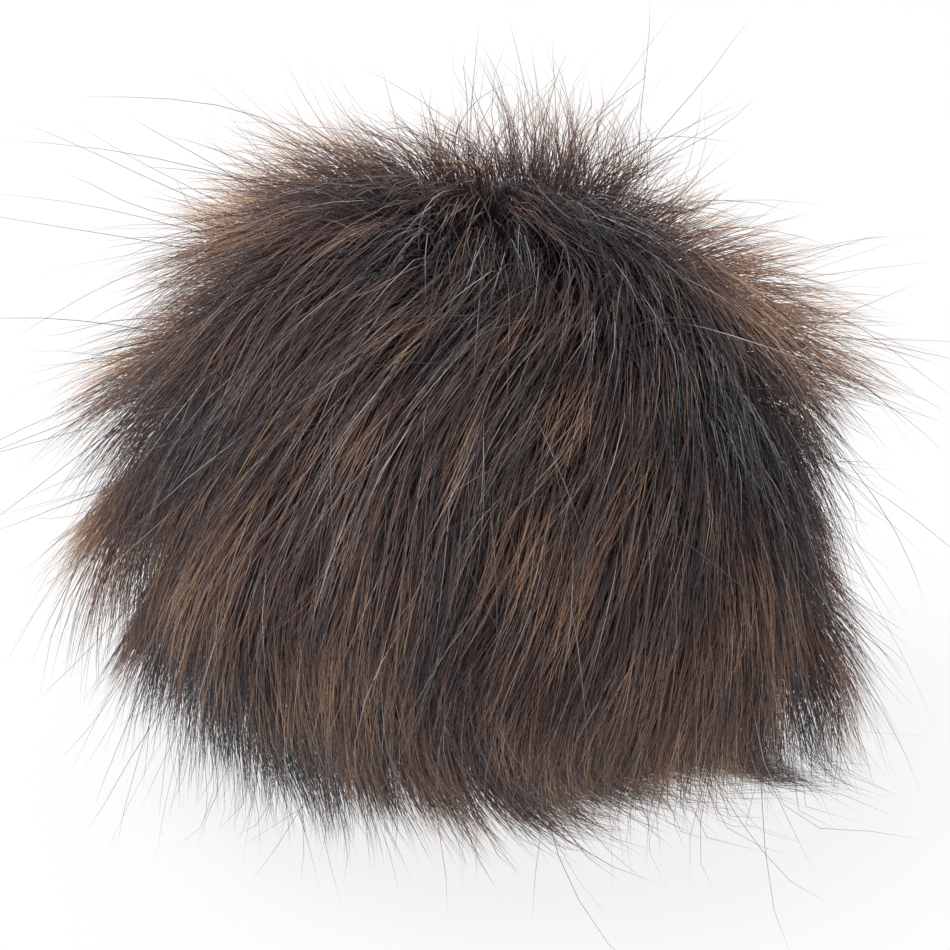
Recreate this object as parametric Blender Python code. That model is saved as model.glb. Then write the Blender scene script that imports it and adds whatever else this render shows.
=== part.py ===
"""A faux fur pom pom, lying on its own flat spot.

The fur is one solid: a slightly flattened ball of dense pile, with curved, tapered locks that grow out
of it and run together at their roots. The pile parts at a crown near the top, where the ball has a
hollow and the locks stand up around it. From there it is combed down every side, so each lock leaves the
ball at a slant and bends further along the nap. Under the ball the lowest locks are short, and they lie
level on the floor.

Metres, +Z up, the floor at Z 0, and +Y away from the viewer.
"""

import math
import random

import bmesh
import bpy
from mathutils import Vector, noise

# The dense ball
BALL_HALF_SIZE = Vector((0.0423, 0.0389, 0.0426))
BALL_SUBDIVISIONS = 3
FLAT_SPOT_ANGLE = math.radians(33)
LUMP_HEIGHT = 0.0011
LUMP_SIZE = 0.020
VERTEX_SCATTER = 0.0004

# The nap: how far the pile leans over from straight out, in radians
CROWN = Vector((0.29, 0.06, 0.955)).normalized()
CROWN_SPREAD = 0.75
CROWN_HOLLOW = 0.0080
CROWN_HOLLOW_SPREAD = 0.55
LEAN_AT_ROOT = 0.20
LEAN_OUTSIDE = 0.65
PILE_DEPTH = 0.011
UNDERSIDE_LEAN = 0.10
UNDERSIDE_START = 0.85
FLOOR_REACH = 0.006

# The locks
LOCK_SLENDERNESS = 1.70
LOCK_LENGTH_SCATTER = 0.20
CROWN_LENGTH = 1.30
UNDERSIDE_LENGTH = 0.50
UNDERSIDE_TOP = 0.020
LOWEST_ROOT = 0.004
ROOT_INSET = 0.0001
LOCK_ROOT_SHARE = 0.55
LOCK_WIDTHS = (0.66, 0.40, 0.20, 0.06)
DIRECTION_SCATTER = 0.03
FLOOR_TUFT_TOWARDS = Vector((0.97, -0.24, 0.0)).normalized()
FLOOR_TUFT_HEIGHT = 0.026
FLOOR_TUFT_NARROWNESS = 6
FLOOR_TUFT_GAIN = 0.60

FUR_COLOUR = (0.052, 0.031, 0.024, 1.0)
FUR_ROUGHNESS = 0.62
SHARP_EDGE = math.radians(50)
SEED = 3


def clear_scene():
    """Removes every object, such as those of the startup scene."""
    for obj in list(bpy.data.objects):
        bpy.data.objects.remove(obj, do_unlink=True)


def fur_material():
    """Dark brown pile fabric."""
    material = bpy.data.materials.new("fur")
    material.use_nodes = True
    shader = material.node_tree.nodes["Principled BSDF"]
    shader.inputs["Base Color"].default_value = FUR_COLOUR
    shader.inputs["Roughness"].default_value = FUR_ROUGHNESS
    shader.inputs["Metallic"].default_value = 0.0
    return material


def smooth_step(value, low, high):
    """0 below low, 1 above high, and an eased rise between them."""
    share = min(1.0, max(0.0, (value - low) / (high - low)))
    return share * share * (3 - 2 * share)


def ball_centre():
    """The ball's centre: its flat spot then lies on the floor."""
    return Vector((0.0, 0.0, BALL_HALF_SIZE.z * math.cos(FLAT_SPOT_ANGLE)))


def shape_ball(bm, rng):
    """Turns a unit icosphere into the lumpy ball, hollowed at its crown, with its flat spot on the floor."""
    centre = ball_centre()
    for vertex in bm.verts:
        outward = vertex.co.normalized()
        point = outward * BALL_HALF_SIZE
        point += outward * LUMP_HEIGHT * noise.noise(point / LUMP_SIZE)
        point -= outward * CROWN_HOLLOW * math.exp(-((outward.angle(CROWN) / CROWN_HOLLOW_SPREAD) ** 2))
        aside = Vector([rng.uniform(-1, 1) for _ in range(3)])
        aside -= outward * aside.dot(outward)
        point += aside * VERTEX_SCATTER
        vertex.co = point + centre
        if outward.z < -math.cos(FLAT_SPOT_ANGLE):
            vertex.co.z = 0.0


def nap_direction(point):
    """The way the pile runs at a point outside the ball.

    It leans further over the further out it is, away from the crown. It stands straighter at the crown
    and under the ball, and turns level just above the floor.
    """
    from_centre = point - ball_centre()
    outward = from_centre.normalized()
    away = outward - CROWN * outward.dot(CROWN)
    away -= outward * away.dot(outward)
    depth = from_centre.length - (outward * BALL_HALF_SIZE).length
    lean = LEAN_AT_ROOT + (LEAN_OUTSIDE - LEAN_AT_ROOT) * smooth_step(depth, 0.0, PILE_DEPTH)
    lean *= smooth_step(outward.angle(CROWN), 0.0, CROWN_SPREAD)
    lean *= 1 - (1 - UNDERSIDE_LEAN) * smooth_step(-outward.z, 0.0, UNDERSIDE_START)
    direction = outward * math.cos(lean) + away.normalized() * math.sin(lean)
    if direction.z < 0.0:
        direction.z *= smooth_step(point.z, 0.0, FLOOR_REACH)
    return direction.normalized()


def lock_length(face, rng):
    """A lock's length, in proportion to its root.

    Locks are longer at the crown, short underneath, and longer where a tuft spreads on the floor.
    """
    point, normal = face.calc_center_median(), face.normal
    length = LOCK_SLENDERNESS * math.sqrt(face.calc_area()) * (1 + rng.uniform(-1, 1) * LOCK_LENGTH_SCATTER)
    length *= CROWN_LENGTH + (1 - CROWN_LENGTH) * smooth_step(normal.angle(CROWN), 0.0, CROWN_SPREAD)
    clear = smooth_step(point.z, 0.0, UNDERSIDE_TOP)
    length *= UNDERSIDE_LENGTH + (1 - UNDERSIDE_LENGTH) * clear
    level = Vector((normal.x, normal.y, 0.0)).normalized()
    facing = max(0.0, level.dot(FLOOR_TUFT_TOWARDS)) ** FLOOR_TUFT_NARROWNESS
    low = 1 - smooth_step(point.z, UNDERSIDE_TOP / 2, FLOOR_TUFT_HEIGHT)
    return length * (1 + FLOOR_TUFT_GAIN * facing * low)


def place_ring(verts, centre, turn, scale, new_centre):
    """Moves a lock's end ring on: scaled, turned and carried to its new centre, and never under the floor."""
    for vertex in verts:
        offset = turn @ (vertex.co - centre) * scale
        vertex.co = new_centre + offset
    lowest = min(vertex.co.z for vertex in verts)
    if lowest < 0.0:
        for vertex in verts:
            vertex.co.z -= lowest


def ring_centre(verts):
    """The mean of a ring's corners."""
    return sum((vertex.co for vertex in verts), Vector()) / len(verts)


def grow_lock(bm, face, rng):
    """Draws one face of the ball out into a curved, tapered lock of three sides."""
    facing = face.normal.copy()
    root = face.calc_center_median()
    length = lock_length(face, rng)
    scatter = Vector([rng.uniform(-1, 1) for _ in range(3)]) * DIRECTION_SCATTER
    bmesh.ops.inset_individual(bm, faces=[face], thickness=ROOT_INSET)
    for vertex in face.verts:
        vertex.co = root + (vertex.co - root) * LOCK_ROOT_SHARE
    step = length / len(LOCK_WIDTHS)
    width_before = 1.0
    for width in LOCK_WIDTHS:
        centre = ring_centre(face.verts)
        direction = (nap_direction(centre) + scatter).normalized()
        turn = facing.rotation_difference(direction)
        face = bmesh.ops.extrude_discrete_faces(bm, faces=[face])["faces"][0]
        place_ring(face.verts, centre, turn, width / width_before, centre + direction * step)
        facing = direction
        width_before = width


def centre_on_origin(bm):
    """Slides the fur sideways until its box is centred over the origin."""
    for axis in (0, 1):
        places = [vertex.co[axis] for vertex in bm.verts]
        middle = (min(places) + max(places)) / 2
        for vertex in bm.verts:
            vertex.co[axis] -= middle


def make_fur():
    """The whole pom pom as one solid of fur."""
    rng = random.Random(SEED)
    bm = bmesh.new()
    bmesh.ops.create_icosphere(bm, subdivisions=BALL_SUBDIVISIONS, radius=1.0)
    shape_ball(bm, rng)
    bm.normal_update()
    growing = [face for face in bm.faces if face.calc_center_median().z > LOWEST_ROOT]
    for face in growing:
        grow_lock(bm, face, rng)
    centre_on_origin(bm)
    bm.normal_update()
    mesh = bpy.data.meshes.new("fur")
    bm.to_mesh(mesh)
    bm.free()
    mesh.shade_smooth()
    mesh.set_sharp_from_angle(angle=SHARP_EDGE)
    mesh.materials.append(fur_material())
    fur = bpy.data.objects.new("fur", mesh)
    bpy.context.scene.collection.objects.link(fur)
    return fur


clear_scene()
make_fur()
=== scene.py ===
"""The looks of a dark brown faux fur pom pom, lying on a pale floor.

A round of faux fur cloth is gathered round stuffing, and its long pile hides all of it. The pile is
combed away from a short parting at the back of the top. It lies down the front, and stands out at the
sides and the back. It has six coats: a soft brown under-fur, the main coat, the fuller hairs of three
tufts, longer glossy charcoal guard hairs, fine wisps, and loose hairs that stray beyond the outline.
Every hair is a closed, tapered prism of three sides that follows the nap, drawn together with its
neighbours into locks.

Metres, +Z up, the floor at Z 0, and +Y away from the viewer.
"""

from __future__ import annotations

import logging
import math
from dataclasses import dataclass, field
from enum import Enum
import bmesh
import bpy
import numpy as np
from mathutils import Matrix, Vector


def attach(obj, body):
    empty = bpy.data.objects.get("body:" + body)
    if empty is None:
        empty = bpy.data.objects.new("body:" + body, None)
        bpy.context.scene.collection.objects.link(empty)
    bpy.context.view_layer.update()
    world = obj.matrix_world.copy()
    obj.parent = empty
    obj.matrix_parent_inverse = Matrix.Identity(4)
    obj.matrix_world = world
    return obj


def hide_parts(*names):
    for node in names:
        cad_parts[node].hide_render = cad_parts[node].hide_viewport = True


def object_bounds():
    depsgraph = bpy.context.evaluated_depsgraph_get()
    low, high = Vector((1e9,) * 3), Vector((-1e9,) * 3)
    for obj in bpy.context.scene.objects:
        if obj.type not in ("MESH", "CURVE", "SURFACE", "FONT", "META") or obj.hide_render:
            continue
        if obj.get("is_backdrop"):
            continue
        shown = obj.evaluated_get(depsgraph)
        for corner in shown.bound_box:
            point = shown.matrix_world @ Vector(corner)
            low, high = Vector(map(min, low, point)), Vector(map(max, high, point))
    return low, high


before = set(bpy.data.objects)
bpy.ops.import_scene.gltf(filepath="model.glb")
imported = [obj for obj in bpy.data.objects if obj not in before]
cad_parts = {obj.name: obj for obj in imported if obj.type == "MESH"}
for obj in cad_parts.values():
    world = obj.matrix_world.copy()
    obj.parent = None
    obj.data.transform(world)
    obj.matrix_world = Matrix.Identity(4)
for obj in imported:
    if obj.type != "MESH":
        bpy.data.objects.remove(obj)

FUR_NODE = "fur"
BODY = "root"
UV_NAME = "OFBake"
UV_MARGIN = 0.01
STRAY_ROOM = 0.0120
BALL_SHIFT = -0.001
BALL_HEIGHT = 0.0375
HAIR_SIDES = 3
SMALLEST_LENGTH = 1e-9
SMALLEST_REACH = 1e-6
RIGHT = np.array([1.0, 0.0, 0.0])
LEVEL = np.array([1.0, 1.0, 0.0])

Place = tuple[float, float, float]
Colour = tuple[float, float, float]
Stops = tuple[tuple[float, Colour], ...]

log = logging.getLogger("pom_pom")


class Coat(Enum):
    """The kinds of hair in the pile, from the inside out."""

    UNDERFUR = "underfur"
    MAIN = "main_coat"
    TUFT = "tuft_hairs"
    GUARD = "guard_hairs"
    WISP = "wisps"
    STRAY = "stray_hairs"


def smooth_step(value: np.ndarray, low: float, high: float) -> np.ndarray:
    """Eases from 0 at low to 1 at high.

    Args:
        value: The numbers to ease.
        low: Where the rise starts.
        high: Where the rise ends.

    Returns:
        Numbers from 0 to 1.
    """
    share = np.clip((value - low) / (high - low), 0.0, 1.0)
    return share * share * (3 - 2 * share)


@dataclass(frozen=True)
class Rise:
    """An eased rise from 0 to 1."""

    low: float
    high: float

    def at(self, value: np.ndarray) -> np.ndarray:
        """Reads the rise.

        Args:
            value: Where to read it.

        Returns:
            0 at low and below it, 1 at high and above it.
        """
        return smooth_step(value, self.low, self.high)


def unit(vectors: np.ndarray) -> np.ndarray:
    """Scales vectors to length 1.

    Args:
        vectors: Vectors along the last axis.

    Returns:
        The unit vectors.
    """
    return vectors / np.maximum(np.linalg.norm(vectors, axis=-1, keepdims=True), SMALLEST_LENGTH)


def perpendicular(vectors: np.ndarray, axes: np.ndarray) -> np.ndarray:
    """Takes away the part of each vector that runs along its axis.

    Args:
        vectors: The vectors.
        axes: Unit axes, one for each vector.

    Returns:
        Unit vectors at a right angle to the axes.
    """
    return unit(vectors - axes * np.sum(vectors * axes, axis=-1, keepdims=True))


def even_directions(count: int, jitter: float, rng: np.random.Generator) -> np.ndarray:
    """Spreads directions evenly over a sphere, on a golden spiral.

    Args:
        count: How many directions.
        jitter: How far each may stray, as a share of the spacing.
        rng: The source of chance.

    Returns:
        Unit directions, one to a row.
    """
    index = np.arange(count) + 0.5
    height = 1 - 2 * index / count
    turn = index * math.pi * (1 + math.sqrt(5))
    ring = np.sqrt(1 - height * height)
    spiral = np.stack([ring * np.cos(turn), ring * np.sin(turn), height], axis=1)
    spacing = math.sqrt(4 * math.pi / count)
    return unit(spiral + rng.normal(0.0, jitter * spacing, spiral.shape))


@dataclass(frozen=True)
class Unevenness:
    """A smooth, irregular field over the ball, for lengths, turns, tones and the placing of painted glints.
    """

    fineness: float
    seed: int
    gain: float = 1.0
    waves: int = 14
    fineness_range: tuple[float, float] = (0.5, 1.5)

    def at(self, directions: np.ndarray) -> np.ndarray:
        """Reads the field.

        Args:
            directions: Unit directions from the ball's centre.

        Returns:
            Numbers mostly between -gain and gain.
        """
        rng = np.random.default_rng(self.seed)
        vectors = unit(rng.normal(size=(self.waves, 3))) * self.fineness
        vectors = vectors * rng.uniform(*self.fineness_range, (self.waves, 1))
        phases = rng.uniform(0, 2 * math.pi, self.waves)
        total = np.sin(directions @ vectors.T + phases).sum(axis=1)
        return self.gain * (total / math.sqrt(self.waves / 2))


@dataclass(frozen=True)
class Arc:
    """A stretch of the ball's surface between two directions."""

    start: Place
    end: Place

    def nearest(self, directions: np.ndarray) -> np.ndarray:
        """The place on the arc that is nearest to each direction.

        Args:
            directions: Unit directions from the ball's centre.

        Returns:
            Unit directions.
        """
        start, end = unit(np.array(self.start)), unit(np.array(self.end))
        run = end - start
        share = np.clip((directions - start) @ run / max(run @ run, SMALLEST_LENGTH), 0.0, 1.0)
        return unit(start + share[:, None] * run)

    def angle_to(self, directions: np.ndarray) -> np.ndarray:
        """How far each direction is from the arc.

        Args:
            directions: Unit directions from the ball's centre.

        Returns:
            Angles in radians.
        """
        return np.arccos(np.clip(np.sum(directions * self.nearest(directions), axis=1), -1, 1))


@dataclass(frozen=True)
class Tuft:
    """A place where the pile is fuller, sparser or of another tone than round it."""

    towards: Place
    spread: float
    length_gain: float = 0.0
    tone_gain: float = 0.0
    until: Place | None = None

    def weight(self, directions: np.ndarray) -> np.ndarray:
        """How strongly the tuft acts.

        Args:
            directions: Unit directions from the ball's centre.

        Returns:
            1 in the tuft's middle, or along it where it runs on to another place, falling to 0 around it.
        """
        angle = Arc(self.towards, self.until or self.towards).angle_to(directions)
        return np.exp(-((angle / self.spread) ** 2))


@dataclass
class Nap:
    """The way that the pile lies round the stuffed ball.

    Leans and turns are in radians. Most of the rises are read by how far the way straight out of the ball
    points down, up, forward or to the right, which their names end with. fall_start is read by the angle from
    the parting, and front_rise by how nearly the way out is that of the front.
    """

    centre: np.ndarray
    skin: np.ndarray = field(default_factory=lambda: np.array([0.0375, 0.0352, 0.0360]))
    parting: Arc = Arc((0.12, 0.38, 0.92), (0.44, 0.28, 0.85))
    crown_spread: float = 0.50
    crown_lean: float = 0.55
    crown_tousle: float = 0.9
    crown_tousle_spread: float = 0.24
    fall: float = 1.6
    fall_from: np.ndarray = field(default_factory=lambda: unit(np.array([0.24, 0.34, 0.91])))
    fall_start: Rise = Rise(0.1, 0.7)
    fall_forward: Rise = Rise(-0.35, 0.35)
    root_lean: float = 0.30
    side_lean: float = 0.52
    front_lean: float = 1.24
    side_length: float = 0.57
    front: np.ndarray = field(default_factory=lambda: unit(np.array([0.05, -0.92, 0.40])))
    front_rise: Rise = Rise(-0.10, 0.50)
    rim_loss: float = 0.7
    rim_down: Rise = Rise(0.42, 0.66)
    low_right_down: Rise = Rise(0.1, 0.5)
    low_right_right: Rise = Rise(-0.2, 0.4)
    low_right_forward: Rise = Rise(-0.2, 0.3)
    pile_depth: float = 0.011
    swirls: Unevenness = Unevenness(fineness=7.0, seed=31, gain=0.17)
    sweep: float = 4.0
    sweep_down: Rise = Rise(0.05, 0.70)
    sweep_forward: Rise = Rise(-0.1, 0.5)
    sweep_right: Rise = Rise(-0.75, 0.15)
    broad_lengths: Unevenness = Unevenness(fineness=4.0, seed=11, gain=0.06)
    fine_lengths: Unevenness = Unevenness(fineness=13.0, seed=12)
    front_fine_gain: float = 0.06
    side_fine_gain: float = 0.09
    shortest: float = 0.15
    under_cut: float = 0.58
    under_down: Rise = Rise(0.45, 0.95)
    broad_tones: Unevenness = Unevenness(fineness=5.0, seed=21, gain=0.09)
    fine_tones: Unevenness = Unevenness(fineness=17.0, seed=22, gain=0.13)
    # Lighter at the sides, the top and the back: partly a lighter pile, partly painted backlight shining
    # through the hair tips at the outline.
    side_tone_and_backlight: float = 0.34
    side_tone_and_backlight_up: Rise = Rise(-0.5, 0.0)
    rim_tone: float = -0.28
    rim_tone_down: Rise = Rise(0.40, 0.60)
    # Painted glints: where hairs get a light grey tone that stands for highlights on glossy hair.
    glint: Tuft = Tuft((-0.35, -0.90, 0.10), spread=0.75)
    glint_least: float = 0.10
    glint_gain: float = 1.75
    glint_patches: Unevenness = Unevenness(fineness=6.0, seed=61, gain=1.6)
    glint_most: float = 4.0
    floor_reach: float = 0.007
    spur: Tuft = Tuft((0.90, -0.20, -0.33), spread=0.28, length_gain=0.40, tone_gain=-0.14)
    spur_lean: float = 0.38
    tufts: tuple[Tuft, ...] = (
        # The upper right and the top
        Tuft((0.85, 0.20, 0.47), spread=0.22, length_gain=0.26, tone_gain=0.04),
        Tuft((0.64, 0.35, 0.68), spread=0.30, length_gain=0.02, tone_gain=0.24),
        Tuft((0.31, 0.42, 0.85), spread=0.18, length_gain=0.40, tone_gain=0.10),
        Tuft((0.07, 0.52, 0.85), spread=0.08, length_gain=-0.20, tone_gain=0.06),
        # The upper left
        Tuft((-0.52, 0.42, 0.74), spread=0.36, length_gain=0.22, tone_gain=-0.12),
        Tuft((-0.69, 0.65, 0.31), spread=0.12, length_gain=-0.34, until=(-0.69, -0.12, 0.71)),
        # The tufts at the left edge and the gaps between them
        Tuft((-0.98, 0.05, 0.16), spread=0.40, length_gain=-0.22, tone_gain=0.06),
        Tuft((-0.87, 0.40, 0.28), spread=0.07, length_gain=0.16, tone_gain=0.04, until=(-0.90, 0.02, 0.43)),
        Tuft((-0.93, 0.36, 0.06), spread=0.07, length_gain=-0.34, until=(-0.93, -0.20, 0.32)),
        Tuft((-0.95, 0.28, -0.13), spread=0.10, length_gain=0.56, tone_gain=0.08, until=(-0.95, -0.26, 0.15)),
        Tuft((-0.88, 0.34, -0.32), spread=0.09, length_gain=-0.66, until=(-0.87, -0.48, 0.09)),
        Tuft((-0.86, 0.25, -0.43), spread=0.08, length_gain=0.32, tone_gain=0.04,
             until=(-0.91, -0.40, -0.11)),
        # The low left of the front
        Tuft((-0.70, -0.50, -0.52), spread=0.40, length_gain=-0.16, tone_gain=-0.32),
        Tuft((-0.42, -0.64, -0.64), spread=0.34, length_gain=-0.12, tone_gain=-0.06),
        # Darker patches
        Tuft((-0.60, -0.78, -0.10), spread=0.30, tone_gain=-0.20),
        Tuft((-0.38, -0.02, 0.92), spread=0.34, tone_gain=-0.12),
        Tuft((0.74, -0.36, 0.56), spread=0.30, tone_gain=-0.20),
        Tuft((0.30, -0.34, 0.89), spread=0.38, tone_gain=-0.12),
        Tuft((0.85, -0.40, 0.30), spread=0.28, length_gain=-0.06, tone_gain=-0.08),
        # Shorter pile at the right edge and down the front
        Tuft((0.97, -0.06, 0.06), spread=0.30, length_gain=-0.36),
        Tuft((-0.10, -0.93, -0.30), spread=0.46, length_gain=-0.12),
    )

    def outward(self, points: np.ndarray) -> np.ndarray:
        """The way straight out of the ball at each point.

        Args:
            points: Places round the ball.

        Returns:
            Unit normals of the ball's own shape.
        """
        return unit((points - self.centre) / self.skin**2)

    def depth(self, points: np.ndarray) -> np.ndarray:
        """How far each point stands off the cloth.

        Args:
            points: Places round the ball.

        Returns:
            Distances in metres.
        """
        offset = points - self.centre
        length = np.linalg.norm(offset, axis=1)
        surface = 1 / np.linalg.norm(offset / length[:, None] / self.skin, axis=1)
        return length - surface

    def facing(self, out: np.ndarray) -> np.ndarray:
        """How fully the pile belongs to the combed-down front.

        Args:
            out: Unit directions straight out of the ball.

        Returns:
            1 at the front, 0 at the sides, the back and the top.
        """
        low_right = self.low_right_down.at(-out[:, 2]) * self.low_right_right.at(out[:, 0])
        low_right *= self.low_right_forward.at(-out[:, 1])
        above_rim = 1 - self.rim_loss * self.rim_down.at(-out[:, 2])
        return np.maximum(self.front_rise.at(out @ self.front) * above_rim, low_right)

    def direction(self, points: np.ndarray, lean_gain: np.ndarray, turn: np.ndarray) -> np.ndarray:
        """The way that the hairs run at each point.

        Args:
            points: Places along the hairs.
            lean_gain: How much more or less than its neighbours each hair leans.
            turn: How far each hair turns aside from the nap, in radians.

        Returns:
            Unit directions.
        """
        out = self.outward(points)
        from_crown = self.parting.angle_to(out)
        away = perpendicular(-self.parting.nearest(out), out)
        down = perpendicular(np.broadcast_to(-self.fall_from, out.shape), out)
        falling = self.fall * self.fall_start.at(from_crown) * self.fall_forward.at(-out[:, 1])
        away = away + down * falling[:, None]
        sweeping = self.sweep * self.sweep_down.at(-out[:, 2]) * self.sweep_forward.at(-out[:, 1])
        sweeping *= self.sweep_right.at(out[:, 0])
        away = perpendicular(away + RIGHT * sweeping[:, None], out)
        aside = np.cross(out, away)
        away = away * np.cos(turn)[:, None] + aside * np.sin(turn)[:, None]
        most = self.side_lean + (self.front_lean - self.side_lean) * self.facing(out)
        outside = smooth_step(self.depth(points), 0.0, self.pile_depth)
        lean = self.root_lean + (most - self.root_lean) * outside
        clear = smooth_step(from_crown, 0.0, self.crown_spread)
        lean = (self.crown_lean + (lean - self.crown_lean) * clear) * lean_gain
        lean *= 1 - (1 - self.spur_lean) * self.spur.weight(out)
        run = out * np.cos(lean)[:, None] + away * np.sin(lean)[:, None]
        low = 1 - smooth_step(points[:, 2], 0.0, self.floor_reach)
        sinking = run[:, 2] < 0
        run[:, 2] = np.where(sinking, run[:, 2] * (1 - low), run[:, 2])
        run += unit(out * LEVEL) * (low * sinking)[:, None]
        return unit(run)

    def turn_at(self, directions: np.ndarray, rng: np.random.Generator, scatter: float) -> np.ndarray:
        """How far hairs turn aside from the nap: in smooth swirls, and every way at the crown.

        Args:
            directions: Unit directions of the hairs' roots.
            rng: The source of chance.
            scatter: How much each hair strays, in radians.

        Returns:
            Turns in radians.
        """
        from_crown = self.parting.angle_to(directions)
        tousle = self.crown_tousle * np.exp(-((from_crown / self.crown_tousle_spread) ** 2))
        return self.swirls.at(directions) + rng.normal(0.0, 1.0, len(directions)) * (scatter + tousle)

    def length_at(self, directions: np.ndarray) -> np.ndarray:
        """The pile's length, as a share of its usual one.

        Args:
            directions: Unit directions of the hairs' roots.

        Returns:
            Shares, 1 where nothing changes it.
        """
        sideways = 1 - self.facing(directions)
        share = 1 + self.broad_lengths.at(directions)
        share += (self.front_fine_gain + self.side_fine_gain * sideways) * self.fine_lengths.at(directions)
        share *= 1 - (1 - self.side_length) * sideways
        for tuft in (self.spur, *self.tufts):
            share = share + tuft.length_gain * tuft.weight(directions)
        return np.maximum(share, self.shortest) * (1 - self.under_cut * self.under_down.at(-directions[:, 2]))

    def tone_at(self, directions: np.ndarray) -> np.ndarray:
        """How much lighter or darker the pile is than usual.

        Args:
            directions: Unit directions of the hairs' roots.

        Returns:
            Numbers to add to the hairs' tones.
        """
        gain = self.broad_tones.at(directions) + self.fine_tones.at(directions)
        # Partly painted backlight: the sides, the top and the back are made lighter, so that their tips show
        # tan at the outline.
        gain += self.side_tone_and_backlight * (1 - self.facing(directions)) * self.side_tone_and_backlight_up.at(directions[:, 2])
        gain += self.rim_tone * self.rim_tone_down.at(-directions[:, 2])
        for tuft in (self.spur, *self.tufts):
            gain = gain + tuft.tone_gain * tuft.weight(directions)
        return gain

    def paths(self, directions: np.ndarray, lengths: np.ndarray, lean_gain: np.ndarray, turn: np.ndarray,
              steps: int) -> np.ndarray:
        """Grows hairs from the cloth along the nap.

        Args:
            directions: Unit directions of the roots from the ball's centre.
            lengths: The hairs' lengths.
            lean_gain: How much more or less than its neighbours each hair leans.
            turn: How far each hair turns aside from the nap, in radians.
            steps: The number of steps along a hair.

        Returns:
            Places of shape (hairs, steps + 1, 3).
        """
        surface = 1 / np.linalg.norm(directions / self.skin, axis=1)
        points = self.centre + directions * surface[:, None]
        track = [points]
        for _ in range(steps):
            run = self.direction(points, lean_gain, turn)
            points = points + run * (lengths / steps)[:, None]
            track.append(points)
        return np.stack(track, axis=1)


@dataclass(frozen=True)
class Gather:
    """How hairs draw together into locks."""

    locks: int
    strength: float
    power: float
    seed: int
    tone_scatter: float = 0.10
    jitter: float = 0.28
    lengths: tuple[float, float] = (0.80, 1.18)
    lean_scatter: float = 0.13
    turn_scatter: float = 0.15
    front_escape: float = 0.36
    block_size: int = 4000

    def apply(self, nap: Nap, directions: np.ndarray, paths: np.ndarray, length: float,
              loose: np.ndarray) -> tuple[np.ndarray, np.ndarray]:
        """Draws each hair towards the middle of its lock, most of all at the tip.

        Args:
            nap: The way that the pile lies.
            directions: Unit directions of the roots.
            paths: Places along the hairs.
            length: The usual length of these hairs.
            loose: For each hair, how much of the gathering it escapes, from 0 to 1.

        Returns:
            The gathered places, and how much lighter or darker each hair's lock is.
        """
        rng = np.random.default_rng(self.seed)
        middles = even_directions(self.locks, self.jitter, rng)
        lengths = length * nap.length_at(middles) * rng.uniform(*self.lengths, self.locks)
        lean_gain = rng.normal(1.0, self.lean_scatter, self.locks)
        turn = nap.turn_at(middles, rng, self.turn_scatter)
        lock_tones = rng.normal(0.0, self.tone_scatter, self.locks)
        guides = nap.paths(middles, lengths, lean_gain, turn, paths.shape[1] - 1)
        nearest = np.empty(len(directions), dtype=int)
        for start in range(0, len(directions), self.block_size):
            block = slice(start, start + self.block_size)
            nearest[block] = np.argmax(directions[block] @ middles.T, axis=1)
        along = np.linspace(0.0, 1.0, paths.shape[1])
        pull = self.strength * along**self.power
        share = (1 - loose) * (1 - self.front_escape * nap.facing(directions))
        weight = pull[None, :] * share[:, None]
        return paths + (guides[nearest] - paths) * weight[:, :, None], lock_tones[nearest]


@dataclass(frozen=True)
class Trim:
    """How far hairs may reach: to each side of the origin, and up."""

    half_width: float
    half_depth: float
    top: float

    def apply(self, centre: np.ndarray, paths: np.ndarray) -> np.ndarray:
        """Draws in the hairs that reach too far.

        Args:
            centre: The ball's centre.
            paths: Places along the hairs.

        Returns:
            The same places, drawn in towards the roots where they reached too far.
        """
        limit = np.array([self.half_width - abs(centre[0]), self.half_depth, self.top - centre[2]])
        reach = np.abs(paths - centre)
        reach[:, :, 2] = (paths - centre)[:, :, 2]
        roots = paths[:, :1]
        root_reach = reach[:, :1]
        room = (limit - root_reach) / np.maximum(reach - root_reach, SMALLEST_REACH)
        share = np.where(reach > limit, room, 1.0).min(axis=(1, 2))
        return roots + (paths - roots) * share[:, None, None]


@dataclass(frozen=True)
class HairKind:
    """One coat of the pile: its hairs' number, sizes and tones, and how they gather.

    The count is spread over the whole ball, and of a coat that grows only in tufts the rest is left out.
    """

    coat: Coat
    count: int
    pieces: int
    length: float
    length_scatter: float
    root_width: float
    tip_width: float
    segments: int
    tone: float
    tone_scatter: float
    lean_scatter: float
    turn_scatter: float
    bend: float
    frizz: float
    looseness: float
    # The share of hairs given a painted glint, a light grey tone that stands for a highlight.
    painted_glint_share: float
    low_length: float
    gathers: tuple[Gather, ...]
    seed: int
    around: tuple[Tuft, ...] = ()


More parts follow.
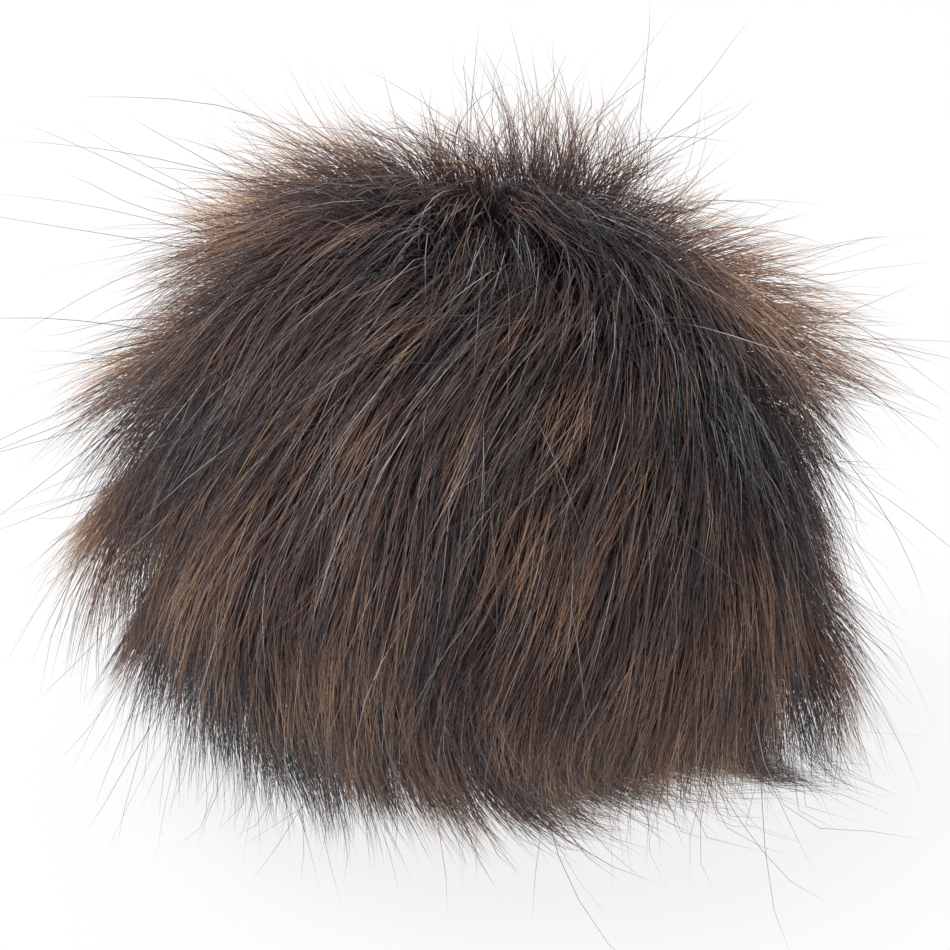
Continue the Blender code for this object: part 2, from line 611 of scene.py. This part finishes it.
@dataclass
class HairBundle:
    """The hairs of one piece: places along them, and their tones."""

    paths: np.ndarray
    tones: np.ndarray
    root_width: float
    tip_width: float
    rng: np.random.Generator
    side_tone_scatter: float = 0.06
    taper: float = 1.7

    def ring_widths(self) -> np.ndarray:
        """The width of the hair at each place along it but the tip."""
        count = self.paths.shape[1]
        along = np.linspace(0.0, 1.0, count)[:-1]
        return self.tip_width + (self.root_width - self.tip_width) * (1 - along**self.taper)

    def vertices(self) -> np.ndarray:
        """Sets a triangle round each place along each hair, and one vertex at its tip.

        Returns:
            Vertex places, three for each ring and one for each tip.
        """
        runs = unit(np.gradient(self.paths, axis=1))
        reference = unit(self.rng.normal(size=(len(self.paths), 1, 3)))
        across = perpendicular(np.broadcast_to(reference, runs.shape), runs)
        other = np.cross(runs, across)
        angles = np.arange(HAIR_SIDES) * 2 * math.pi / HAIR_SIDES
        radii = self.ring_widths() / 2
        rings = self.paths[:, :-1, None, :] + radii[None, :, None, None] * (
            across[:, :-1, None, :] * np.cos(angles)[None, None, :, None]
            + other[:, :-1, None, :] * np.sin(angles)[None, None, :, None]
        )
        rings = rings.reshape(len(self.paths), -1, 3)
        return np.concatenate([rings, self.paths[:, -1:, :]], axis=1)

    def face_pattern(self) -> tuple[np.ndarray, np.ndarray, np.ndarray]:
        """The faces of one hair: its root cap, its sides and its pointed tip.

        Returns:
            The vertex numbers of all the faces in turn, the number of corners of each face, and the side
            of the hair that each corner belongs to.
        """
        rings = self.paths.shape[1] - 1
        corners = [0, 2, 1]
        sizes = [3]
        sides = [0, 0, 0]
        for ring in range(rings - 1):
            for side in range(HAIR_SIDES):
                low = HAIR_SIDES * ring + side
                high = HAIR_SIDES * ring + (side + 1) % HAIR_SIDES
                corners += [low, high, high + HAIR_SIDES, low + HAIR_SIDES]
                sizes.append(4)
                sides += [side] * 4
        tip = HAIR_SIDES * rings
        last = tip - HAIR_SIDES
        for side in range(HAIR_SIDES):
            corners += [last + side, last + (side + 1) % HAIR_SIDES, tip]
            sizes.append(3)
            sides += [side] * 3
        return np.array(corners), np.array(sizes), np.array(sides)

    def to_object(self, name: str) -> bpy.types.Object:
        """Makes the hairs one mesh object, with the tone and the place along the hair as its UVs.

        Args:
            name: The piece's name.

        Returns:
            The new object, at the origin.
        """
        places = self.vertices()
        hairs, per_hair = places.shape[:2]
        corners, sizes, sides = self.face_pattern()
        all_corners = (corners[None, :] + per_hair * np.arange(hairs)[:, None]).ravel()
        all_sizes = np.tile(sizes, hairs)
        starts = np.concatenate([[0], np.cumsum(all_sizes)[:-1]])
        mesh = bpy.data.meshes.new(name)
        mesh.vertices.add(hairs * per_hair)
        mesh.vertices.foreach_set("co", places.astype(np.float32).ravel())
        mesh.loops.add(len(all_corners))
        mesh.loops.foreach_set("vertex_index", all_corners.astype(np.int32))
        mesh.polygons.add(len(all_sizes))
        mesh.polygons.foreach_set("loop_start", starts.astype(np.int32))
        mesh.polygons.foreach_set("use_smooth", np.ones(len(all_sizes), dtype=bool))
        mesh.update(calc_edges=True)
        self.add_uvs(mesh, corners, sides)
        mesh.validate()
        piece = bpy.data.objects.new(name, mesh)
        bpy.context.scene.collection.objects.link(piece)
        return piece

    def add_uvs(self, mesh: bpy.types.Mesh, corners: np.ndarray, sides: np.ndarray) -> None:
        """Writes the tone of each corner's side and its place along the hair as its UVs.

        Args:
            mesh: The hairs' mesh.
            corners: The vertex numbers of one hair's faces in turn.
            sides: The side of the hair that each of those corners belongs to.
        """
        hairs = len(self.paths)
        rings = self.paths.shape[1] - 1
        along = np.append(np.repeat(np.arange(rings) / rings, HAIR_SIDES), 1.0)[corners]
        uv = np.empty((hairs, len(corners), 2), dtype=np.float32)
        side_tones = self.tones[:, None] + self.rng.normal(0.0, self.side_tone_scatter, (hairs, HAIR_SIDES))
        uv[:, :, 0] = np.clip(side_tones, 0.0, 1 - UV_MARGIN)[:, sides]
        uv[:, :, 1] = UV_MARGIN + (1 - 2 * UV_MARGIN) * along[None, :]
        layer = mesh.uv_layers.new(name=UV_NAME)
        layer.data.foreach_set("uv", uv.ravel())


@dataclass
class FurCoat:
    """One coat of hairs, over the whole ball or in its tufts."""

    nap: Nap
    kind: HairKind
    trim: Trim
    root_jitter: float = 0.35
    length_range: tuple[float, float] = (0.45, 1.6)
    low_rise: Rise = Rise(0.0, 0.6)
    loose_shares: tuple[float, float] = (0.4, 1.0)
    bound_shares: tuple[float, float] = (0.0, 0.3)
    frizz_beats: tuple[float, float] = (0.8, 1.8)
    # The tone of the painted glints, which stands for a highlight on glossy hair.
    painted_glint_tone: float = 0.0
    tone_range: tuple[float, float] = (0.06, 0.99)
    settle_height: float = 0.004
    settle_spread: float = 0.25
    floor_gap: float = 0.0002

    def roots(self, rng: np.random.Generator) -> np.ndarray:
        """Directions of the roots, shuffled so that each piece covers the whole ball or all its tufts.

        Args:
            rng: The source of chance.

        Returns:
            Unit directions.
        """
        directions = even_directions(self.kind.count, self.root_jitter, rng)
        rng.shuffle(directions)
        if self.kind.around:
            chance = np.max([tuft.weight(directions) for tuft in self.kind.around], axis=0)
            directions = directions[rng.random(len(directions)) < chance]
        return directions

    def grow(self) -> tuple[np.ndarray, np.ndarray]:
        """Grows, gathers and bends the hairs, and lays the lowest ones on the floor.

        Returns:
            Places along the hairs, and the hairs' tones.
        """
        kind = self.kind
        rng = np.random.default_rng(kind.seed)
        directions = self.roots(rng)
        count = len(directions)
        lengths = self.lengths(directions, rng)
        lean_gain = rng.normal(1.0, kind.lean_scatter, count)
        turn = self.nap.turn_at(directions, rng, kind.turn_scatter)
        paths = self.nap.paths(directions, lengths, lean_gain, turn, kind.segments)
        loose = self.looseness(count, rng)
        tones = kind.tone + rng.normal(0.0, kind.tone_scatter, count) + self.nap.tone_at(directions)
        for gather in kind.gathers:
            paths, lock_tones = gather.apply(self.nap, directions, paths, kind.length, loose)
            tones += lock_tones
        paths = self.rest_on_floor(self.bend(paths, lengths, rng))
        return self.trim.apply(self.nap.centre, paths), self.paint_glints(directions, tones, rng)

    def lengths(self, directions: np.ndarray, rng: np.random.Generator) -> np.ndarray:
        """Each hair's length.

        Args:
            directions: Unit directions of the hairs' roots.
            rng: The source of chance.

        Returns:
            Lengths in metres.
        """
        lengths = self.kind.length * self.nap.length_at(directions)
        lengths *= rng.normal(1.0, self.kind.length_scatter, len(directions)).clip(*self.length_range)
        return lengths * (1 - (1 - self.kind.low_length) * self.low_rise.at(-directions[:, 2]))

    def looseness(self, count: int, rng: np.random.Generator) -> np.ndarray:
        """How much of the gathering each hair escapes.

        Args:
            count: How many hairs there are.
            rng: The source of chance.

        Returns:
            Shares from 0 to 1.
        """
        escapes = rng.random(count) < self.kind.looseness
        free = rng.uniform(*self.loose_shares, count)
        bound = rng.uniform(*self.bound_shares, count)
        return np.where(escapes, free, bound)

    def bend(self, paths: np.ndarray, lengths: np.ndarray, rng: np.random.Generator) -> np.ndarray:
        """Bends each hair its own way and waves it a little.

        Args:
            paths: Places along the hairs.
            lengths: The hairs' lengths.
            rng: The source of chance.

        Returns:
            The bent places.
        """
        count, steps = paths.shape[:2]
        along = np.linspace(0.0, 1.0, steps)[None, :, None]
        aside = unit(rng.normal(size=(count, 1, 3)))
        paths = paths + aside * (lengths * rng.normal(0.0, self.kind.bend, count))[:, None, None] * along**2
        wave = unit(rng.normal(size=(count, 1, 3)))
        phase = rng.uniform(0, 2 * math.pi, (count, 1, 1))
        beats = rng.uniform(*self.frizz_beats, (count, 1, 1))
        return paths + wave * self.kind.frizz * along * np.sin(phase + 2 * math.pi * beats * along)

    def paint_glints(self, directions: np.ndarray, tones: np.ndarray, rng: np.random.Generator) -> np.ndarray:
        """Paints glints: gives some hairs a light grey tone that stands for the highlight on glossy hair,
        most of them where the pile should glint.

        Args:
            directions: Unit directions of the hairs' roots.
            tones: The hairs' tones.
            rng: The source of chance.

        Returns:
            The new tones.
        """
        nap = self.nap
        painted_glint_share = self.kind.painted_glint_share * np.clip(1 + nap.glint_patches.at(directions), 0.0, nap.glint_most)
        painted_glint_share *= nap.glint_least + nap.glint_gain * nap.glint.weight(directions)
        chosen = rng.random(len(directions)) < painted_glint_share
        return np.where(chosen, self.painted_glint_tone, tones.clip(*self.tone_range))

    def rest_on_floor(self, paths: np.ndarray) -> np.ndarray:
        """Bends hairs that would reach under the floor, so that they spread on it.

        Args:
            paths: Places along the hairs.

        Returns:
            The same places, none of them under the floor.
        """
        reach = self.settle_height
        height = paths[:, :, 2]
        low = np.minimum(height - reach, 0.0)
        out = paths - self.nap.centre
        out[:, :, 2] = 0.0
        paths = paths - unit(out) * (self.settle_spread * low)[:, :, None]
        settled = np.where(height < reach, reach * np.exp(low / reach), height)
        paths[:, :, 2] = np.maximum(settled, self.floor_gap)
        return paths

    def make(self) -> list[bpy.types.Object]:
        """Builds the coat's pieces.

        Returns:
            The new objects.
        """
        paths, tones = self.grow()
        rng = np.random.default_rng(self.kind.seed + 1)
        made = []
        groups = np.array_split(np.arange(len(paths)), self.kind.pieces)
        for number, group in enumerate(groups, start=1):
            bundle = HairBundle(paths[group], tones[group], self.kind.root_width, self.kind.tip_width, rng)
            name = self.kind.coat.value if self.kind.pieces == 1 else f"{self.kind.coat.value}_{number}"
            made.append(bundle.to_object(name))
        return made


@dataclass
class FurCloth:
    """The stuffed ball of fur cloth that the pile grows from."""

    nap: Nap
    subdivisions: int = 5
    gather_depth: float = 0.0015
    gather_count: int = 14
    gather_reach: float = 0.75

    def make(self) -> bpy.types.Object:
        """Builds the ball, drawn in a little at its gathers underneath.

        Returns:
            The new object.
        """
        bm = bmesh.new()
        bmesh.ops.create_icosphere(bm, subdivisions=self.subdivisions, radius=1.0)
        half = Vector(self.nap.skin)
        centre = Vector(self.nap.centre)
        for vertex in bm.verts:
            outward = vertex.co.normalized()
            turn = math.atan2(outward.y, outward.x)
            low = max(0.0, -outward.z - (1 - self.gather_reach)) / self.gather_reach
            pleat = self.gather_depth * low * (0.5 + 0.5 * math.cos(self.gather_count * turn))
            vertex.co = centre + outward * half - outward * pleat
        mesh = bpy.data.meshes.new("fur_cloth")
        bm.to_mesh(mesh)
        bm.free()
        mesh.shade_smooth()
        piece = bpy.data.objects.new("fur_cloth", mesh)
        bpy.context.scene.collection.objects.link(piece)
        return piece


def add_ramp(nodes: bpy.types.Nodes, stops: Stops) -> bpy.types.Node:
    """Adds a colour ramp.

    Args:
        nodes: The material's nodes.
        stops: Places from 0 to 1 with their colours.

    Returns:
        The ramp node.
    """
    ramp = nodes.new("ShaderNodeValToRGB")
    elements = ramp.color_ramp.elements
    while len(elements) < len(stops):
        elements.new(0.5)
    for element, (place, colour) in zip(elements, stops):
        element.position = place
        element.color = (*colour, 1.0)
    return ramp


@dataclass(frozen=True)
class PileFinish:
    """The hairs' finish: each hair's tone picks its colour, which changes from root to tip."""

    name: str
    roughness: float
    shine: float
    body_rise: tuple[float, float] = (0.10, 0.55)
    tip_rise: tuple[float, float] = (0.45, 0.95)
    root_stops: Stops = (
        (0.0, (0.052, 0.047, 0.049)),
        (0.5, (0.118, 0.080, 0.074)),
        (1.0, (0.240, 0.152, 0.120)),
    )
    body_stops: Stops = (
        # Tone 0 is a painted glint: a light grey middle along the hair that stands for the highlight on
        # glossy hair.
        (0.0, (0.520, 0.500, 0.505)),
        (0.05, (0.038, 0.039, 0.045)),
        (0.22, (0.056, 0.050, 0.054)),
        (0.40, (0.124, 0.080, 0.079)),
        (0.55, (0.182, 0.114, 0.107)),
        (0.75, (0.188, 0.117, 0.103)),
        (1.0, (0.340, 0.210, 0.155)),
    )
    tip_stops: Stops = (
        (0.0, (0.050, 0.051, 0.057)),
        (0.05, (0.036, 0.037, 0.043)),
        (0.28, (0.064, 0.052, 0.053)),
        (0.44, (0.202, 0.130, 0.118)),
        # The light tan tips: partly the pile's own lighter tips, partly painted backlight where the sides are
        # made lighter.
        (0.65, (0.520, 0.310, 0.190)),
        (1.0, (0.780, 0.510, 0.310)),
    )

    def make(self) -> bpy.types.Material:
        """Builds the material.

        Returns:
            The new material.
        """
        material = bpy.data.materials.new(self.name)
        material.use_nodes = True
        nodes, links = material.node_tree.nodes, material.node_tree.links
        shader = nodes["Principled BSDF"]
        shader.inputs["Roughness"].default_value = self.roughness
        shader.inputs["Specular IOR Level"].default_value = self.shine
        uv = nodes.new("ShaderNodeUVMap")
        uv.uv_map = UV_NAME
        split = nodes.new("ShaderNodeSeparateXYZ")
        links.new(uv.outputs["UV"], split.inputs["Vector"])
        tone, along = split.outputs["X"], split.outputs["Y"]
        layers = []
        for stops in (self.root_stops, self.body_stops, self.tip_stops):
            ramp = add_ramp(nodes, stops)
            links.new(tone, ramp.inputs["Fac"])
            layers.append(ramp.outputs["Color"])
        colour = layers[0]
        for layer, (low, high) in zip(layers[1:], (self.body_rise, self.tip_rise)):
            rise = nodes.new("ShaderNodeMapRange")
            rise.interpolation_type = "SMOOTHSTEP"
            rise.inputs["From Min"].default_value = low
            rise.inputs["From Max"].default_value = high
            links.new(along, rise.inputs["Value"])
            mix = nodes.new("ShaderNodeMix")
            mix.data_type = "RGBA"
            links.new(rise.outputs["Result"], mix.inputs["Factor"])
            links.new(colour, mix.inputs["A"])
            links.new(layer, mix.inputs["B"])
            colour = mix.outputs["Result"]
        links.new(colour, shader.inputs["Base Color"])
        return material


@dataclass(frozen=True)
class ClothFinish:
    """The fur cloth's own finish, deep in the pile."""

    name: str = "fur_cloth"
    dark: Colour = (0.045, 0.034, 0.032)
    light: Colour = (0.110, 0.074, 0.062)
    fineness: float = 420.0
    dark_place: float = 0.35
    light_place: float = 0.65
    roughness: float = 0.9
    bump: float = 0.5
    bump_height: float = 0.0005

    def make(self) -> bpy.types.Material:
        """Builds the material.

        Returns:
            The new material.
        """
        material = bpy.data.materials.new(self.name)
        material.use_nodes = True
        nodes, links = material.node_tree.nodes, material.node_tree.links
        shader = nodes["Principled BSDF"]
        shader.inputs["Roughness"].default_value = self.roughness
        place = nodes.new("ShaderNodeTexCoord")
        grain = nodes.new("ShaderNodeTexNoise")
        grain.inputs["Scale"].default_value = self.fineness
        links.new(place.outputs["Object"], grain.inputs["Vector"])
        ramp = add_ramp(nodes, ((self.dark_place, self.dark), (self.light_place, self.light)))
        links.new(grain.outputs["Fac"], ramp.inputs["Fac"])
        links.new(ramp.outputs["Color"], shader.inputs["Base Color"])
        bump = nodes.new("ShaderNodeBump")
        bump.inputs["Strength"].default_value = self.bump
        bump.inputs["Distance"].default_value = self.bump_height
        links.new(grain.outputs["Fac"], bump.inputs["Height"])
        links.new(bump.outputs["Normal"], shader.inputs["Normal"])
        return material


@dataclass(frozen=True)
class Studio:
    """The pale floor, the soft light and the camera."""

    target: Place = (0.0, 0.0, 0.0385)
    elevation: float = math.radians(27.5)
    distance: float = 0.310
    lens: float = 85.0
    clip_start: float = 0.01
    floor_size: float = 6.0
    floor_roughness: float = 0.85
    floor_colour: Colour = (0.09, 0.09, 0.09)
    floor_glow: float = 0.85
    sky_strength: float = 0.80
    key_energy: float = 4.4
    key_size: float = 0.36
    key_place: Place = (-0.28, 0.00, 0.72)

    def make_floor(self) -> bpy.types.Object:
        """Lays the floor just under the fur.

        Returns:
            The floor.
        """
        bm = bmesh.new()
        bmesh.ops.create_grid(bm, x_segments=1, y_segments=1, size=self.floor_size / 2)
        mesh = bpy.data.meshes.new("floor")
        bm.to_mesh(mesh)
        bm.free()
        material = bpy.data.materials.new("floor")
        material.use_nodes = True
        shader = material.node_tree.nodes["Principled BSDF"]
        shader.inputs["Base Color"].default_value = (*self.floor_colour, 1.0)
        shader.inputs["Roughness"].default_value = self.floor_roughness
        shader.inputs["Emission Color"].default_value = (1.0, 1.0, 1.0, 1.0)
        shader.inputs["Emission Strength"].default_value = self.floor_glow
        mesh.materials.append(material)
        floor = bpy.data.objects.new("floor", mesh)
        bpy.context.scene.collection.objects.link(floor)
        floor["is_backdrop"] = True
        return floor

    def make_light(self) -> None:
        """Sets the bright surroundings and one large softbox at the upper left."""
        world = bpy.data.worlds.new("studio")
        world.use_nodes = True
        background = world.node_tree.nodes["Background"]
        background.inputs["Color"].default_value = (1.0, 1.0, 1.0, 1.0)
        background.inputs["Strength"].default_value = self.sky_strength
        bpy.context.scene.world = world
        light = bpy.data.lights.new("softbox", "AREA")
        light.shape = "SQUARE"
        light.size = self.key_size
        light.energy = self.key_energy
        lamp = bpy.data.objects.new("softbox", light)
        lamp.location = self.key_place
        aim = Vector(self.target) - Vector(self.key_place)
        lamp.rotation_euler = aim.to_track_quat("-Z", "Y").to_euler()
        bpy.context.scene.collection.objects.link(lamp)

    def make_camera(self) -> None:
        """Sets the camera at the photograph's angle."""
        camera = bpy.data.cameras.new("camera")
        camera.lens = self.lens
        camera.clip_start = self.clip_start
        holder = bpy.data.objects.new("camera", camera)
        back = Vector((0.0, -math.cos(self.elevation), math.sin(self.elevation)))
        holder.location = Vector(self.target) + back * self.distance
        holder.rotation_euler = (-back).to_track_quat("-Z", "Y").to_euler()
        bpy.context.scene.collection.objects.link(holder)
        bpy.context.scene.camera = holder

    def make(self) -> None:
        """Builds the whole studio."""
        self.make_floor()
        self.make_light()
        self.make_camera()
        bpy.context.scene.view_settings.view_transform = "Standard"


HAIR_KINDS = (
    HairKind(
        coat=Coat.UNDERFUR, count=12000, pieces=2, length=0.0265, length_scatter=0.18, root_width=0.00016,
        tip_width=0.00002, segments=4, tone=0.56, tone_scatter=0.10, lean_scatter=0.14, turn_scatter=0.20,
        bend=0.07, frizz=0.0005, looseness=0.3, painted_glint_share=0.0, low_length=1.0,
        gathers=(
            Gather(400, strength=0.84, power=1.1, seed=41),
            Gather(2400, strength=0.35, power=1.3, seed=42),
        ),
        seed=51,
    ),
    HairKind(
        coat=Coat.MAIN, count=15500, pieces=3, length=0.0280, length_scatter=0.15, root_width=0.00016,
        tip_width=0.00002, segments=5, tone=0.40, tone_scatter=0.10, lean_scatter=0.11, turn_scatter=0.14,
        bend=0.06, frizz=0.0006, looseness=0.25, painted_glint_share=0.018, low_length=1.0,
        gathers=(
            Gather(400, strength=0.86, power=1.2, seed=41),
            Gather(1900, strength=0.40, power=1.5, seed=43, tone_scatter=0.15),
        ),
        seed=52,
    ),
    HairKind(
        coat=Coat.TUFT, count=60000, pieces=1, length=0.0285, length_scatter=0.16, root_width=0.00015,
        tip_width=0.00002, segments=4, tone=0.40, tone_scatter=0.10, lean_scatter=0.12, turn_scatter=0.14,
        bend=0.06, frizz=0.0005, looseness=0.25, painted_glint_share=0.0, low_length=0.85,
        gathers=(
            Gather(400, strength=0.84, power=1.1, seed=41),
            Gather(1900, strength=0.35, power=1.5, seed=43),
        ),
        seed=56,
        around=(
            Tuft((0.90, -0.20, -0.34), spread=0.24),
            Tuft((-0.95, 0.28, -0.13), spread=0.07, until=(-0.95, -0.26, 0.15)),
            Tuft((-0.86, 0.25, -0.43), spread=0.06, until=(-0.91, -0.40, -0.11)),
        ),
    ),
    HairKind(
        coat=Coat.GUARD, count=5200, pieces=1, length=0.0318, length_scatter=0.12, root_width=0.00014,
        tip_width=0.00003, segments=5, tone=0.12, tone_scatter=0.09, lean_scatter=0.12, turn_scatter=0.16,
        bend=0.08, frizz=0.0003, looseness=0.5, painted_glint_share=0.10, low_length=0.95,
        gathers=(
            Gather(400, strength=0.55, power=1.3, seed=41),
            Gather(1900, strength=0.30, power=1.5, seed=43),
        ),
        seed=53,
    ),
    HairKind(
        coat=Coat.WISP, count=1500, pieces=1, length=0.0350, length_scatter=0.12, root_width=0.00008,
        tip_width=0.00002, segments=5, tone=0.34, tone_scatter=0.20, lean_scatter=0.25, turn_scatter=0.35,
        bend=0.17, frizz=0.0006, looseness=1.0, painted_glint_share=0.0, low_length=0.62,
        gathers=(), seed=55,
    ),
    HairKind(
        coat=Coat.STRAY, count=800, pieces=1, length=0.0395, length_scatter=0.16, root_width=0.00013,
        tip_width=0.00003, segments=8, tone=0.12, tone_scatter=0.10, lean_scatter=0.35, turn_scatter=0.45,
        bend=0.22, frizz=0.0008, looseness=1.0, painted_glint_share=0.0, low_length=0.50,
        gathers=(), seed=54,
    ),
)


@dataclass
class PomPom:
    """The whole pom pom: its fur cloth and the coats of its pile."""

    nap: Nap
    trim: Trim

    def finish(self, piece: bpy.types.Object, material: bpy.types.Material) -> None:
        """Dresses a piece, rides it on the body and has it stand for the CAD fur.

        Args:
            piece: The new piece.
            material: Its finish.
        """
        piece.data.materials.append(material)
        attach(piece, BODY)
        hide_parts(FUR_NODE)
        log.info("%s: %d faces", piece.name, len(piece.data.polygons))

    def make(self) -> None:
        """Builds the pom pom, from the cloth outwards."""
        cloth = FurCloth(self.nap).make()
        self.finish(cloth, ClothFinish().make())
        soft = PileFinish("soft_pile", roughness=0.55, shine=0.20).make()
        glossy = PileFinish("guard_hair", roughness=0.42, shine=0.32).make()
        for kind in HAIR_KINDS:
            material = glossy if kind.coat in (Coat.GUARD, Coat.WISP, Coat.STRAY) else soft
            for piece in FurCoat(self.nap, kind, self.trim).make():
                self.finish(piece, material)


def main() -> None:
    logging.basicConfig(level=logging.INFO)
    cad_low, cad_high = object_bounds()
    middle = (cad_low + cad_high) / 2
    centre = np.array([middle.x + BALL_SHIFT, middle.y, BALL_HEIGHT])
    trim = Trim(cad_high.x + STRAY_ROOM, cad_high.y + STRAY_ROOM, cad_high.z + STRAY_ROOM)
    Studio().make()
    PomPom(Nap(centre), trim).make()


if __name__ == "__main__":
    main()
